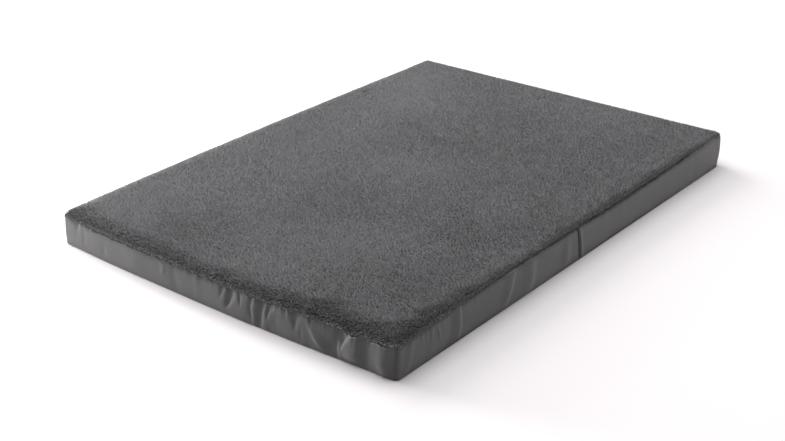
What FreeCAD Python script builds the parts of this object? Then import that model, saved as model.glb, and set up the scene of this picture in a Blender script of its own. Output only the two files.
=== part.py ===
import FreeCAD, Part
import math
import os
import Sketcher

# A thin foam pad in a zipped cover: +X along its length, +Y across it, +Z up.
# The origin is the middle of the underside. Lengths are in millimetres.

doc = FreeCAD.newDocument("pressure_relief_mattress")

# ---------------------------------------------------------------- driving dimensions

DIMENSIONS = [
    ("pad_length", 1000.0),
    ("pad_width", 700.0),
    ("corner_radius", 9.0),
    ("cover_height", 52.0),
    ("fabric_thick", 1.2),
    ("pile_height", 10.0),
    ("pile_round", 7.0),
    ("seam_lean", 18.0),
    ("seam_offset", 19.0),
    ("liner_inset", 4.5),
    ("liner_thick", 0.4),
    ("memory_thick", 20.0),
    ("thread_thick", 0.5),
    ("edge_stitch_inset", 4.0),
    ("seam_stitch_inset", 3.0),
    ("zip_panel_length", 650.0),
    ("zip_opening", 12.0),
    ("zip_stitch_inset", 2.5),
    ("tape_length", 644.0),
    ("tape_thick", 0.7),
    ("tape_gap", 4.8),
    ("tape_width", 12.0),
    ("chain_length", 624.0),
    ("coil_width", 3.0),
    ("coil_thick", 2.2),
    ("coil_round", 0.8),
    ("coil_gap", 0.2),
    ("clearance", 0.3),
    ("slider_length", 13.0),
    ("slider_mouth", 10.8),
    ("slider_tail", 8.8),
    ("plate_thick", 1.2),
    ("flange_thick", 1.0),
    ("diamond_width", 4.2),
    ("diamond_front", 6.2),
    ("crown_length", 7.0),
    ("crown_width", 2.0),
    ("crown_height", 3.0),
    ("crown_thick", 1.0),
    ("tab_thick", 1.4),
    ("tab_length", 28.0),
    ("tab_neck_width", 5.4),
    ("tab_end_width", 9.0),
    ("tab_window_length", 4.6),
    ("tab_window_width", 3.2),
    ("tab_hole", 3.4),
    ("stop_length", 3.0),
    ("stop_width", 2.4),
    ("stop_thick", 1.8),
    ("end_tab_length", 22.0),
    ("end_tab_width", 26.0),
    ("end_tab_thick", 1.0),
    ("label_length", 36.0),
    ("label_width", 9.0),
    ("label_thick", 0.3),
    ("label_place", 180.0),
]

sizes = doc.addObject("Spreadsheet::Sheet", "sizes")
for row, (alias, number) in enumerate(DIMENSIONS, start=1):
    sizes.set(f"A{row}", alias)
    sizes.set(f"B{row}", str(number))
    sizes.setAlias(f"B{row}", alias)
doc.recompute()

# Places that several pieces share, as expressions of the sheet.
HALF_LENGTH = "sizes.pad_length / 2"
HALF_WIDTH = "sizes.pad_width / 2"
BOXING_HEIGHT = "(sizes.cover_height - sizes.fabric_thick)"
INNER_HEIGHT = "(sizes.cover_height - sizes.fabric_thick - 2 * sizes.liner_thick)"
ZIP_PLANE = "(sizes.pad_length / 2 - sizes.fabric_thick)"
ZIP_LEVEL = "(sizes.fabric_thick + (sizes.cover_height - sizes.fabric_thick) / 2)"
SLIDER_START = "(sizes.clearance - sizes.chain_length / 2)"
TOP_PLATE = "(sizes.coil_thick + sizes.clearance)"
CROWN_BASE = "(sizes.coil_thick + sizes.clearance + sizes.plate_thick)"
PULL_AXIS = "(sizes.coil_thick + 2 * sizes.clearance + sizes.plate_thick + sizes.tab_thick / 2)"


def value(expression):
    """The number an expression of the sheet gives, for a sketch's first geometry."""
    return float(sizes.evalExpression(expression.replace("sizes.", "")))


def bind(item, **expressions):
    """Bind properties of an object to the sheet. A double underscore stands for a dot."""
    for name, expression in expressions.items():
        item.setExpression(name.replace("__", "."), expression)


def place(item, x="0", y="0", z="0"):
    """Bind the position of an object's Placement to the sheet."""
    bind(item, Placement__Base__x=x, Placement__Base__y=y, Placement__Base__z=z)


# ---------------------------------------------------------------- sketch helpers

def new_body(label):
    body = doc.addObject("PartDesign::Body", label)
    body.Label = label
    return body


def new_sketch(body, name, role="XY_Plane"):
    sketch = body.newObject("Sketcher::SketchObject", name)
    plane = next(item for item in body.Origin.OriginFeatures if item.Role == role)
    sketch.AttachmentSupport = [(plane, "")]
    sketch.MapMode = "FlatFace"
    return sketch


def dimension(sketch, constraint, expression):
    """Add a constraint and bind it to an expression of the sheet."""
    index = sketch.addConstraint(constraint)
    sketch.setExpression(f"Constraints[{index}]", expression)


def draw_rounded_rectangle(sketch, length, width, radius):
    """A rounded rectangle centred on the sketch's origin, from three expressions."""
    first = sketch.GeometryCount
    across = value(length) / 2
    up = value(width) / 2
    round_by = value(radius)
    signs = [(1, -1), (1, 1), (-1, 1), (-1, -1)]
    quarter = math.pi / 2
    for step, (sign_x, sign_y) in enumerate(signs):
        centre = FreeCAD.Vector(sign_x * (across - round_by), sign_y * (up - round_by), 0)
        circle = Part.Circle(centre, FreeCAD.Vector(0, 0, 1), round_by)
        sketch.addGeometry(Part.ArcOfCircle(circle, (step - 1) * quarter, step * quarter))
    corners = [sketch.getPoint(first + step, end) for step in range(4) for end in (1, 2)]
    for step in range(4):
        start = corners[2 * step + 1]
        end = corners[(2 * step + 2) % 8]
        sketch.addGeometry(Part.LineSegment(start, end))
    for step in range(4):
        line = first + 4 + step
        sketch.addConstraint(Sketcher.Constraint("Tangent", first + step, 2, line, 1))
        sketch.addConstraint(Sketcher.Constraint("Tangent", line, 2, first + (step + 1) % 4, 1))
    for step in range(3):
        sketch.addConstraint(Sketcher.Constraint("Equal", first + step, first + step + 1))
    sketch.addConstraint(Sketcher.Constraint("Vertical", first + 4))
    sketch.addConstraint(Sketcher.Constraint("Horizontal", first + 5))
    sketch.addConstraint(Sketcher.Constraint("Symmetric", first, 3, first + 2, 3, -1, 1))
    dimension(sketch, Sketcher.Constraint("Radius", first, round_by), radius)
    half_x = Sketcher.Constraint("DistanceX", -1, 1, first + 4, 1, across)
    dimension(sketch, half_x, f"({length}) / 2")
    half_y = Sketcher.Constraint("DistanceY", -1, 1, first + 5, 1, up)
    dimension(sketch, half_y, f"({width}) / 2")


def draw_polygon(sketch, points):
    """A closed polygon whose corners are pairs of expressions, measured from the origin."""
    first = sketch.GeometryCount
    count = len(points)
    corners = [FreeCAD.Vector(value(x), value(y), 0) for x, y in points]
    for step in range(count):
        sketch.addGeometry(Part.LineSegment(corners[step], corners[(step + 1) % count]))
    for step in range(count):
        following = first + (step + 1) % count
        sketch.addConstraint(Sketcher.Constraint("Coincident", first + step, 2, following, 1))
    for step, (x, y) in enumerate(points):
        corner = corners[step]
        along = Sketcher.Constraint("DistanceX", -1, 1, first + step, 1, corner.x)
        dimension(sketch, along, x)
        up = Sketcher.Constraint("DistanceY", -1, 1, first + step, 1, corner.y)
        dimension(sketch, up, y)


def draw_circle(sketch, x, y, diameter):
    """A circle whose centre and diameter are expressions."""
    centre = FreeCAD.Vector(value(x), value(y), 0)
    normal = FreeCAD.Vector(0, 0, 1)
    index = sketch.addGeometry(Part.Circle(centre, normal, value(diameter) / 2))
    dimension(sketch, Sketcher.Constraint("DistanceX", -1, 1, index, 3, centre.x), x)
    dimension(sketch, Sketcher.Constraint("DistanceY", -1, 1, index, 3, centre.y), y)
    dimension(sketch, Sketcher.Constraint("Diameter", index, value(diameter)), diameter)


def pad(body, sketch, length, both_ways=False, shift=None):
    """Pad a sketch by an expression, about its plane or lifted off it by another."""
    feature = body.newObject("PartDesign::Pad", f"{sketch.Name}_pad")
    feature.Profile = sketch
    feature.Midplane = both_ways
    bind(feature, Length=length)
    if shift is not None:
        bind(sketch, AttachmentOffset__Base__z=shift)
    sketch.Visibility = False
    return feature


def pocket(body, sketch, depth=None, both_ways=False):
    """Pocket a sketch upwards from its plane, through everything if no depth is given."""
    feature = body.newObject("PartDesign::Pocket", f"{sketch.Name}_pocket")
    feature.Profile = sketch
    feature.Midplane = both_ways
    feature.Reversed = True
    if depth is None:
        feature.Type = "ThroughAll"
    else:
        bind(feature, Length=depth)
    sketch.Visibility = False
    return feature


def fillet(body, base, radius, wanted):
    """Round the edges of a feature that the test picks."""
    doc.recompute()
    edges = [f"Edge{index}" for index, edge in enumerate(base.Shape.Edges, 1) if wanted(edge)]
    feature = body.newObject("PartDesign::Fillet", f"{body.Name}_fillet")
    feature.Base = (base, edges)
    bind(feature, Radius=radius)
    return feature


# ---------------------------------------------------------------- slabs and rings

def slab(label, length, width, radius, thick, z="0"):
    """A flat sheet or block with rounded corners."""
    body = new_body(label)
    sketch = new_sketch(body, f"{label}_outline")
    draw_rounded_rectangle(sketch, length, width, radius)
    pad(body, sketch, thick)
    place(body, z=z)
    return body


def ring(label, thick, height, z, outward="0"):
    """An upright band round the pad; outward is how far it stands off the cover's side."""
    body = new_body(label)
    sketch = new_sketch(body, f"{label}_outline")
    for inset in (f"2 * ({outward})", f"2 * ({outward}) - 2 * ({thick})"):
        draw_rounded_rectangle(
            sketch,
            f"sizes.pad_length + {inset}",
            f"sizes.pad_width + {inset}",
            f"sizes.corner_radius + ({inset}) / 2",
        )
    pad(body, sketch, height)
    place(body, z=z)
    return body


def top_panel():
    body = slab("top_panel", "sizes.pad_length", "sizes.pad_width", "sizes.corner_radius",
                "sizes.pile_height", "sizes.cover_height")
    level = value("sizes.pile_height")
    fillet(body, body.Tip, "sizes.pile_round",
           lambda edge: all(abs(vertex.Z - level) < 0.01 for vertex in edge.Vertexes))


def bottom_panel():
    slab("bottom_panel", "sizes.pad_length", "sizes.pad_width", "sizes.corner_radius",
         "sizes.fabric_thick")


# ---------------------------------------------------------------- boxing strips

FAR = "sizes.pad_length"
SEAM_HIGH = "(-sizes.seam_lean / 2 - sizes.seam_offset)"
SEAM_LOW = "(sizes.seam_lean / 2 - sizes.seam_offset)"


def cut_at_seam(body, side):
    """Take away the band on one side of the slanted seam in the middle of each long side."""
    sketch = new_sketch(body, f"{body.Name}_seam", "XZ_Plane")
    edge = f"{side} * {FAR}"
    draw_polygon(sketch, [
        (SEAM_LOW, "0"),
        (edge, "0"),
        (edge, BOXING_HEIGHT),
        (SEAM_HIGH, BOXING_HEIGHT),
    ])
    pocket(body, sketch, both_ways=True)


def front_boxing_strip():
    body = ring("front_boxing_strip", "sizes.fabric_thick", BOXING_HEIGHT, "sizes.fabric_thick")
    cut_at_seam(body, 1)


def rear_boxing_strip(label, side):
    """The strip from a seam round a rear corner to the zip panels, on side -1 or 1."""
    body = ring(label, "sizes.fabric_thick", BOXING_HEIGHT, "sizes.fabric_thick")
    cut_at_seam(body, -1)
    sketch = new_sketch(body, f"{label}_end")
    inner = f"{side} * sizes.zip_panel_length / 2"
    draw_polygon(sketch, [
        (f"-{FAR}", inner),
        (FAR, inner),
        (FAR, f"{-side} * {FAR}"),
        (f"-{FAR}", f"{-side} * {FAR}"),
    ])
    pocket(body, sketch)


# ---------------------------------------------------------------- filling

LINER_LENGTH = "sizes.pad_length - 2 * sizes.liner_inset"
LINER_WIDTH = "sizes.pad_width - 2 * sizes.liner_inset"
LINER_RADIUS = "sizes.corner_radius - sizes.liner_inset"
FOAM_LENGTH = "sizes.pad_length - 2 * sizes.liner_inset - 2 * sizes.liner_thick"
FOAM_WIDTH = "sizes.pad_width - 2 * sizes.liner_inset - 2 * sizes.liner_thick"
FOAM_RADIUS = "sizes.corner_radius - sizes.liner_inset - sizes.liner_thick"
FOAM_BOTTOM = "sizes.fabric_thick + sizes.liner_thick"


def liner_half(label, z, upside_down):
    """A shallow tray of thin film; two of them meet at half height round the foam."""
    body = slab(label, LINER_LENGTH, LINER_WIDTH, LINER_RADIUS, f"{BOXING_HEIGHT} / 2", z)
    sketch = new_sketch(body, f"{label}_hollow")
    draw_rounded_rectangle(sketch, FOAM_LENGTH, FOAM_WIDTH, FOAM_RADIUS)
    if not upside_down:
        bind(sketch, AttachmentOffset__Base__z="sizes.liner_thick")
    pocket(body, sketch, f"{BOXING_HEIGHT} / 2 - sizes.liner_thick")


def foam_layers():
    base_thick = f"{INNER_HEIGHT} - sizes.memory_thick"
    slab("support_foam_base", FOAM_LENGTH, FOAM_WIDTH, FOAM_RADIUS, base_thick, FOAM_BOTTOM)
    slab("memory_foam_layer", FOAM_LENGTH, FOAM_WIDTH, FOAM_RADIUS, "sizes.memory_thick",
         f"{FOAM_BOTTOM} + {base_thick}")


# ---------------------------------------------------------------- zip: fabric parts

def box(label, x, y, z, length, width, height):
    """A plain block, placed by its low corner; all six are expressions."""
    block = doc.addObject("Part::Box", label)
    block.Label = label
    bind(block, Length=length, Width=width, Height=height)
    place(block, x, y, z)
    return block


def group(label, members):
    """Several separate solids that make up one sub-part."""
    compound = doc.addObject("Part::Compound", label)
    compound.Label = label
    compound.Links = members
    return compound


def zip_panels():
    """The two strips of side fabric above and below the zip."""
    height = f"{BOXING_HEIGHT} / 2 - sizes.zip_opening / 2"
    start = "-sizes.zip_panel_length / 2"
    for label, z in (("zip_panel_lower", "sizes.fabric_thick"),
                     ("zip_panel_upper", f"{ZIP_LEVEL} + sizes.zip_opening / 2")):
        box(label, ZIP_PLANE, start, z, "sizes.fabric_thick", "sizes.zip_panel_length", height)


def zip_tapes():
    start = "-sizes.tape_length / 2"
    inside = f"{ZIP_PLANE} - sizes.tape_thick"
    for label, z in (("zip_tape_lower", f"{ZIP_LEVEL} - sizes.tape_gap / 2 - sizes.tape_width"),
                     ("zip_tape_upper", f"{ZIP_LEVEL} + sizes.tape_gap / 2")):
        box(label, inside, start, z, "sizes.tape_thick", "sizes.tape_length", "sizes.tape_width")


def zip_coil(label, side):
    """The envelope of one row of coils, a rounded bar on the outside of its tape."""
    body = new_body(label)
    sketch = new_sketch(body, f"{label}_section", "XZ_Plane")
    near = f"{side} * sizes.coil_gap / 2"
    far = f"{side} * (sizes.coil_gap / 2 + sizes.coil_width)"
    draw_polygon(sketch, [
        ("0", near),
        ("sizes.coil_thick", near),
        ("sizes.coil_thick", far),
        ("0", far),
    ])
    bar = pad(body, sketch, "sizes.chain_length", both_ways=True)
    outside = value("sizes.coil_thick")
    fillet(body, bar, "sizes.coil_round",
           lambda edge: all(abs(vertex.X - outside) < 0.01 for vertex in edge.Vertexes)
           and edge.Length > outside + 1)
    place(body, ZIP_PLANE, "0", ZIP_LEVEL)


def zip_end_tabs():
    """Small pieces of side fabric sewn over both ends of the zip."""
    tabs = []
    for name, y in (("closed_end_tab", "-sizes.tape_length / 2 - sizes.end_tab_length"),
                    ("open_end_tab", "sizes.tape_length / 2")):
        tabs.append(box(name, HALF_LENGTH, y, f"{ZIP_LEVEL} - sizes.end_tab_width / 2",
                        "sizes.end_tab_thick", "sizes.end_tab_length", "sizes.end_tab_width"))
    group("zip_end_tabs", tabs)


def care_label():
    """A small blank label sewn below the zip."""
    box("care_label", HALF_LENGTH, "sizes.label_place",
        "sizes.fabric_thick + sizes.edge_stitch_inset + 2 * sizes.thread_thick",
        "sizes.label_thick", "sizes.label_length", "sizes.label_width")


# ---------------------------------------------------------------- stitching

def edge_stitching():
    """The thread of the seams that join the boxing to the top and the bottom panel."""
    ring("top_seam_stitching", "sizes.thread_thick", "sizes.thread_thick",
         "sizes.cover_height - sizes.edge_stitch_inset", "sizes.thread_thick")
    ring("bottom_seam_stitching", "sizes.thread_thick", "sizes.thread_thick",
         "sizes.fabric_thick + sizes.edge_stitch_inset", "sizes.thread_thick")


def side_seam_stitching():
    """The slanted line of thread beside the seam of each long side."""
    body = new_body("side_seam_thread")
    sketch = new_sketch(body, "side_seam_thread_line", "XZ_Plane")
    low = "2 * sizes.edge_stitch_inset"
    high = f"{BOXING_HEIGHT} - 2 * sizes.edge_stitch_inset"
    lean = f"sizes.seam_lean / {BOXING_HEIGHT}"
    from_low = f"{SEAM_LOW} - {lean} * ({low}) - sizes.seam_stitch_inset"
    from_high = f"{SEAM_LOW} - {lean} * ({high}) - sizes.seam_stitch_inset"
    draw_polygon(sketch, [
        (from_low, low),
        (f"{from_low} + sizes.thread_thick", low),
        (f"{from_high} + sizes.thread_thick", high),
        (from_high, high),
    ])
    pad(body, sketch, "sizes.thread_thick", shift=HALF_WIDTH)
    place(body, z="sizes.fabric_thick")
    other = doc.addObject("Part::Mirroring", "side_seam_thread_mirror")
    other.Source = body
    other.Normal = FreeCAD.Vector(0, 1, 0)
    group("side_seam_stitching", [body, other])


def zip_stitching():
    """The threads that hold the zip panels to the tapes."""
    offset = "(sizes.zip_opening / 2 + sizes.zip_stitch_inset)"
    lines = []
    for name, z in (("lower_zip_thread", f"{ZIP_LEVEL} - {offset} - sizes.thread_thick"),
                    ("upper_zip_thread", f"{ZIP_LEVEL} + {offset}")):
        lines.append(box(name, HALF_LENGTH, "-sizes.tape_length / 2", z, "sizes.thread_thick",
                         "sizes.tape_length", "sizes.thread_thick"))
    group("zip_stitching", lines)


# ---------------------------------------------------------------- zip: slider and stops

def slider_plate(body, name, thick, shift):
    """One plate of the slider, wide at the mouth and narrow at the tail."""
    sketch = new_sketch(body, name, "YZ_Plane")
    front = "-sizes.slider_length / 2"
    back = "sizes.slider_length / 2"
    mouth = "sizes.slider_mouth / 2"
    tail = "sizes.slider_tail / 2"
    waist = "sizes.slider_length / 12"
    draw_polygon(sketch, [
        (front, f"-{mouth}"),
        (f"-{waist}", f"-{mouth}"),
        (waist, f"-{tail}"),
        (back, f"-{tail}"),
        (back, tail),
        (waist, tail),
        (f"-{waist}", mouth),
        (front, mouth),
    ])
    return pad(body, sketch, thick, shift=shift)


def slider_flange(body, name, side):
    """The lip that turns in along one edge of the top plate and holds the chain."""
    sketch = new_sketch(body, name, "YZ_Plane")
    outer = f"{side} * sizes.slider_tail / 2"
    inner = f"{side} * (sizes.slider_tail / 2 - sizes.flange_thick)"
    draw_polygon(sketch, [
        ("-sizes.slider_length / 4", inner),
        ("sizes.slider_length / 2", inner),
        ("sizes.slider_length / 2", outer),
        ("-sizes.slider_length / 4", outer),
    ])
    pad(body, sketch, "sizes.coil_thick", shift="sizes.clearance")


def zip_slider():
    """Two plates joined by a diamond, with flanges and a crown for the pull tab.

    The diamond is at the mouth, so with the zip closed it lies just past the last coils."""
    body = new_body("zip_slider")
    slider_plate(body, "slider_back_plate", "sizes.plate_thick",
                 "-sizes.tape_thick - sizes.clearance - sizes.plate_thick")
    diamond = new_sketch(body, "slider_diamond", "YZ_Plane")
    draw_polygon(diamond, [
        ("-sizes.diamond_front", "-sizes.diamond_width / 4"),
        ("-sizes.diamond_front * 2 / 3", "-sizes.diamond_width / 2"),
        ("-2 * sizes.clearance", "0"),
        ("-sizes.diamond_front * 2 / 3", "sizes.diamond_width / 2"),
        ("-sizes.diamond_front", "sizes.diamond_width / 4"),
    ])
    pad(body, diamond, "sizes.tape_thick + sizes.coil_thick + 2 * sizes.clearance",
        shift="-sizes.tape_thick - sizes.clearance")
    slider_plate(body, "slider_top_plate", "sizes.plate_thick", TOP_PLATE)
    slider_flange(body, "slider_lower_flange", -1)
    slider_flange(body, "slider_upper_flange", 1)
    crown = new_sketch(body, "slider_crown", "XY_Plane")
    inner_top = f"{CROWN_BASE} + sizes.crown_height - sizes.crown_thick"
    outer_top = f"{CROWN_BASE} + sizes.crown_height"
    outer = "sizes.crown_length / 2"
    inner = "(sizes.crown_length / 2 - sizes.crown_thick)"
    draw_polygon(crown, [
        (CROWN_BASE, f"-{outer}"),
        (outer_top, f"-{outer}"),
        (outer_top, outer),
        (CROWN_BASE, outer),
        (CROWN_BASE, inner),
        (inner_top, inner),
        (inner_top, f"-{inner}"),
        (CROWN_BASE, f"-{inner}"),
    ])
    pad(body, crown, "sizes.crown_width", both_ways=True)
    place(body, ZIP_PLANE, SLIDER_START, ZIP_LEVEL)


def zip_pull_tab():
    """A flat tab with a round bar that turns under the crown, lying along the chain."""
    body = new_body("zip_pull_tab")
    plate = new_sketch(body, "pull_plate", "YZ_Plane")
    neck = "sizes.tab_neck_width / 2"
    wide = "sizes.tab_end_width / 2"
    shoulder = "2 * sizes.tab_window_length"
    draw_polygon(plate, [
        ("0", f"-{neck}"),
        ("sizes.tab_window_length", f"-{neck}"),
        (shoulder, f"-{wide}"),
        ("sizes.tab_length", f"-{wide}"),
        ("sizes.tab_length", wide),
        (shoulder, wide),
        ("sizes.tab_window_length", neck),
        ("0", neck),
        ("0", "sizes.tab_window_width / 2"),
        ("sizes.tab_window_length", "sizes.tab_window_width / 2"),
        ("sizes.tab_window_length", "-sizes.tab_window_width / 2"),
        ("0", "-sizes.tab_window_width / 2"),
    ])
    draw_circle(plate, "sizes.tab_length - sizes.tab_hole", "0", "sizes.tab_hole")
    pad(body, plate, "sizes.tab_thick", both_ways=True)
    bar = new_sketch(body, "pull_bar", "XY_Plane")
    draw_circle(bar, "0", "0", "sizes.tab_thick")
    joined = pad(body, bar, "sizes.tab_neck_width", both_ways=True)
    end = value("sizes.tab_length")
    fillet(body, joined, "sizes.tab_end_width / 4",
           lambda edge: all(abs(vertex.Y - end) < 0.01 for vertex in edge.Vertexes)
           and edge.Length < value("sizes.tab_thick") + 0.01)
    place(body, f"{ZIP_PLANE} + {PULL_AXIS}", SLIDER_START, ZIP_LEVEL)


def zip_stops():
    """Two stops past the slider's mouth at the closed end, and one across the open end."""
    closed = f"{SLIDER_START} - sizes.slider_length / 2 - sizes.clearance - sizes.stop_length"
    stops = []
    for name, z in (("lower_top_stop", f"{ZIP_LEVEL} - sizes.tape_gap / 4 - sizes.stop_width"),
                    ("upper_top_stop", f"{ZIP_LEVEL} + sizes.tape_gap / 4")):
        stops.append(box(name, ZIP_PLANE, closed, z, "sizes.stop_thick", "sizes.stop_length",
                         "sizes.stop_width"))
    group("zip_top_stops", stops)
    box("zip_bottom_stop", ZIP_PLANE, "sizes.chain_length / 2",
        f"{ZIP_LEVEL} - sizes.coil_width", "sizes.coil_thick", "sizes.stop_length",
        "2 * sizes.coil_width")


# ---------------------------------------------------------------- build and write

NODES = [
    "top_panel",
    "bottom_panel",
    "front_boxing_strip",
    "rear_boxing_strip_left",
    "rear_boxing_strip_right",
    "zip_panel_upper",
    "zip_panel_lower",
    "zip_tape_upper",
    "zip_tape_lower",
    "zip_coil_upper",
    "zip_coil_lower",
    "zip_slider",
    "zip_pull_tab",
    "zip_top_stops",
    "zip_bottom_stop",
    "zip_end_tabs",
    "zip_stitching",
    "top_seam_stitching",
    "bottom_seam_stitching",
    "side_seam_stitching",
    "care_label",
    "inner_liner_upper",
    "inner_liner_lower",
    "memory_foam_layer",
    "support_foam_base",
]

top_panel()
bottom_panel()
front_boxing_strip()
rear_boxing_strip("rear_boxing_strip_left", 1)
rear_boxing_strip("rear_boxing_strip_right", -1)
liner_half("inner_liner_lower", "sizes.fabric_thick", False)
liner_half("inner_liner_upper", f"sizes.fabric_thick + {BOXING_HEIGHT} / 2", True)
foam_layers()
zip_panels()
zip_tapes()
zip_coil("zip_coil_upper", 1)
zip_coil("zip_coil_lower", -1)
zip_end_tabs()
zip_slider()
zip_pull_tab()
zip_stops()
zip_stitching()
edge_stitching()
side_seam_stitching()
care_label()
doc.recompute()

for item in doc.Objects:
    if "Invalid" in item.State or "Error" in item.State:
        raise RuntimeError(f"{item.Label} did not build: {item.State}")

os.makedirs("parts", exist_ok=True)
pieces = {label: doc.getObjectsByLabel(label)[0].Shape for label in NODES}
for label, shape in pieces.items():
    if shape.isNull() or not shape.isValid():
        raise RuntimeError(f"{label} has no valid shape")
for label, shape in pieces.items():
    shape.exportStep(f"parts/{label}.step")
    print(f"{label}: {shape.Volume / 1000:.2f} cm3, {len(shape.Solids)} solid(s)")
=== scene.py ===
import math
import bpy
import numpy as np
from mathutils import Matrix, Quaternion, Vector


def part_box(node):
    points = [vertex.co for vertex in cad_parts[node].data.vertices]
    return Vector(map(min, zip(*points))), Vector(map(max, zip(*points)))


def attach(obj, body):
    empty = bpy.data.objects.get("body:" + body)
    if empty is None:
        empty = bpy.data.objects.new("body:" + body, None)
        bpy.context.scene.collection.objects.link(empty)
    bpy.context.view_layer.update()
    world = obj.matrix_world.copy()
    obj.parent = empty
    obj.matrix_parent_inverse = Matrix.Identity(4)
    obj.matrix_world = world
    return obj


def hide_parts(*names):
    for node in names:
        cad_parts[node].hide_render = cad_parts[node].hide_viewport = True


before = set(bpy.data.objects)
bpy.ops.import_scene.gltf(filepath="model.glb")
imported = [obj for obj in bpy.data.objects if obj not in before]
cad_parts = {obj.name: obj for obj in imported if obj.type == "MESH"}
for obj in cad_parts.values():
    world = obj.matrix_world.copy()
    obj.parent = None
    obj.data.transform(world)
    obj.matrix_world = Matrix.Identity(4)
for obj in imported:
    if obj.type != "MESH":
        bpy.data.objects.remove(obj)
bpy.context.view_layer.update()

# A plush pad in a zipped cover, in metres. Its main sizes come from the CAD nodes' boxes.
MM = 0.001
base_low, base_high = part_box("bottom_panel")
pile_low, pile_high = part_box("top_panel")
strip_low, strip_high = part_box("front_boxing_strip")
LENGTH = base_high.x - base_low.x
WIDTH = base_high.y - base_low.y
FABRIC = base_high.z - base_low.z
SEAM_Z = pile_low.z
SIDE_SEAM_FOOT = strip_high.x
SIDE_SEAM_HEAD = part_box("rear_boxing_strip_right")[0].x

# The shape: how far two sides bow out, how high the top stands, how far the side cloth
# bulges, and how high it starts.
FRONT_BOW = 9.8 * MM
FAR_BOW = 5.8 * MM
CROWN = pile_high.z + 1.7 * MM
CROWN_SLOPE = 2.2 * MM
BELLY = 1.2 * MM
ZIP_BELLY = 0.7 * MM
SIDE_FOOT = 0.4 * MM

# The pile: tufts of strands, and the steepest slope that they follow.
PILE_LENGTH = 4.4 * MM
TUFT_GAP = 3 * MM
STRANDS = 3
STEEPEST = 1.3
# Light scatters inside a pile, so a strand is shaded partly like the surface it grows from.
STRAND_ROUNDNESS = 0.4
PILE_TILES = 12

# The zip, its end patches and the stitches.
HEM_ROUND = 0.65 * MM
COIL_PITCH = 1.5 * MM
COIL_WIRE = 0.34 * MM
COIL_SHIFT = 0.2 * MM
PATCH_OVERLAP = 2 * MM
PATCH_HEM = 2.4 * MM
PATCH_LIFT = 0.55 * MM
STITCH_STEP = 4.2 * MM
THREAD = 0.28 * MM
SEAM_TO_STITCH = 5 * MM

# The foam and the liner under the cover.
FOAM_UNDER_COVER = 3.2 * MM
LINER_UNDER_COVER = 2.6 * MM
FILM = 0.3 * MM


# ---------- small tools

def wave_field(x, y, size, seed):
    """Smooth random numbers about 0 over a plane, with bumps of about the given size."""
    draw = np.random.default_rng(seed)
    total = 0
    for _ in range(2):
        table = draw.normal(0, 1, (128, 128))
        turn = draw.uniform(0, math.pi)
        cells = []
        for along in (x * math.cos(turn) + y * math.sin(turn),
                      y * math.cos(turn) - x * math.sin(turn)):
            place = along / size + 64
            whole = np.floor(place).astype(int)
            share = place - whole
            cells.append((whole % 128, (whole + 1) % 128, share * share * (3 - 2 * share)))
        (left, right, across), (below, above, upward) = cells
        lower = table[left, below] * (1 - across) + table[right, below] * across
        upper = table[left, above] * (1 - across) + table[right, above] * across
        total = total + lower * (1 - upward) + upper * upward
    return total


def smooth_step(low, high, value):
    """0 below low, 1 above high, and smooth between them."""
    share = np.clip((value - low) / (high - low), 0, 1)
    return share * share * (3 - 2 * share)


def turned_edge(share):
    """How far an edge that turns over in a quarter circle has gone in, from 0 to 1."""
    return 1 - np.sqrt(np.maximum(1 - share ** 2, 0))


def hump(value, centre, before, after=None):
    """A bump of height 1 whose two flanks can have different widths."""
    away = value - centre
    width = np.where(away < 0, before, before if after is None else after)
    return np.exp(-(away / width) ** 2)


def add_object(name, data):
    """A new object of the scene that shows a mesh, lamp or camera."""
    made = bpy.data.objects.new(name, data)
    bpy.context.scene.collection.objects.link(made)
    return made


def build(name, points, faces, smooth=True, uv=None):
    """A mesh object from arrays of points, faces and a UV pair for each point."""
    mesh = bpy.data.meshes.new(name)
    faces = np.asarray(faces, np.int32)
    sides = faces.shape[1]
    mesh.vertices.add(len(points))
    mesh.vertices.foreach_set("co", np.asarray(points, np.float32).ravel())
    mesh.loops.add(faces.size)
    mesh.loops.foreach_set("vertex_index", faces.ravel())
    mesh.polygons.add(len(faces))
    mesh.polygons.foreach_set("loop_start", np.arange(0, faces.size, sides, dtype=np.int32))
    mesh.update(calc_edges=True)
    mesh.polygons.foreach_set("use_smooth", np.full(len(faces), smooth))
    mesh.validate()
    if uv is not None:
        layer = mesh.uv_layers.new(name="cloth")
        corners = np.zeros(len(mesh.loops), np.int32)
        mesh.loops.foreach_get("vertex_index", corners)
        layer.data.foreach_set("uv", np.asarray(uv, np.float32)[corners].ravel())
    return add_object(name, mesh)


def grid_faces(rows, columns, closed=False):
    """Quads over a grid of points stored row by row; closed joins the last column to the first."""
    row = np.arange(rows - 1)[:, None]
    column = np.arange(columns if closed else columns - 1)[None, :]
    following = (column + 1) % columns
    corners = (row * columns + column, row * columns + following,
               (row + 1) * columns + following, (row + 1) * columns + column)
    return np.stack(corners, axis=-1).reshape(-1, 4)


def build_rings(name, rings, uv=None):
    """A surface over closed rings of points."""
    faces = grid_faces(len(rings), len(rings[0]), closed=True)
    return build(name, np.concatenate(rings), faces, uv=uv)


def thicken(piece, thickness, outward=-1):
    """Give a surface its cloth's thickness, on the inner side unless outward is 1."""
    modifier = piece.modifiers.new("thickness", "SOLIDIFY")
    modifier.thickness = thickness
    modifier.offset = outward
    modifier.use_rim = True


def triples(x, y, z):
    """Points or directions, one to a row, from three arrays of the same shape."""
    return np.stack([x, y, z], axis=-1).reshape(-1, 3)


def unit(vectors):
    """The same directions with a length of 1."""
    return vectors / np.linalg.norm(vectors, axis=-1, keepdims=True)


def towards_middle(ring, shares):
    """Copies of a ring of points, drawn in towards the middle."""
    return [ring * np.array([share, share, 1]) for share in shares]


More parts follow.
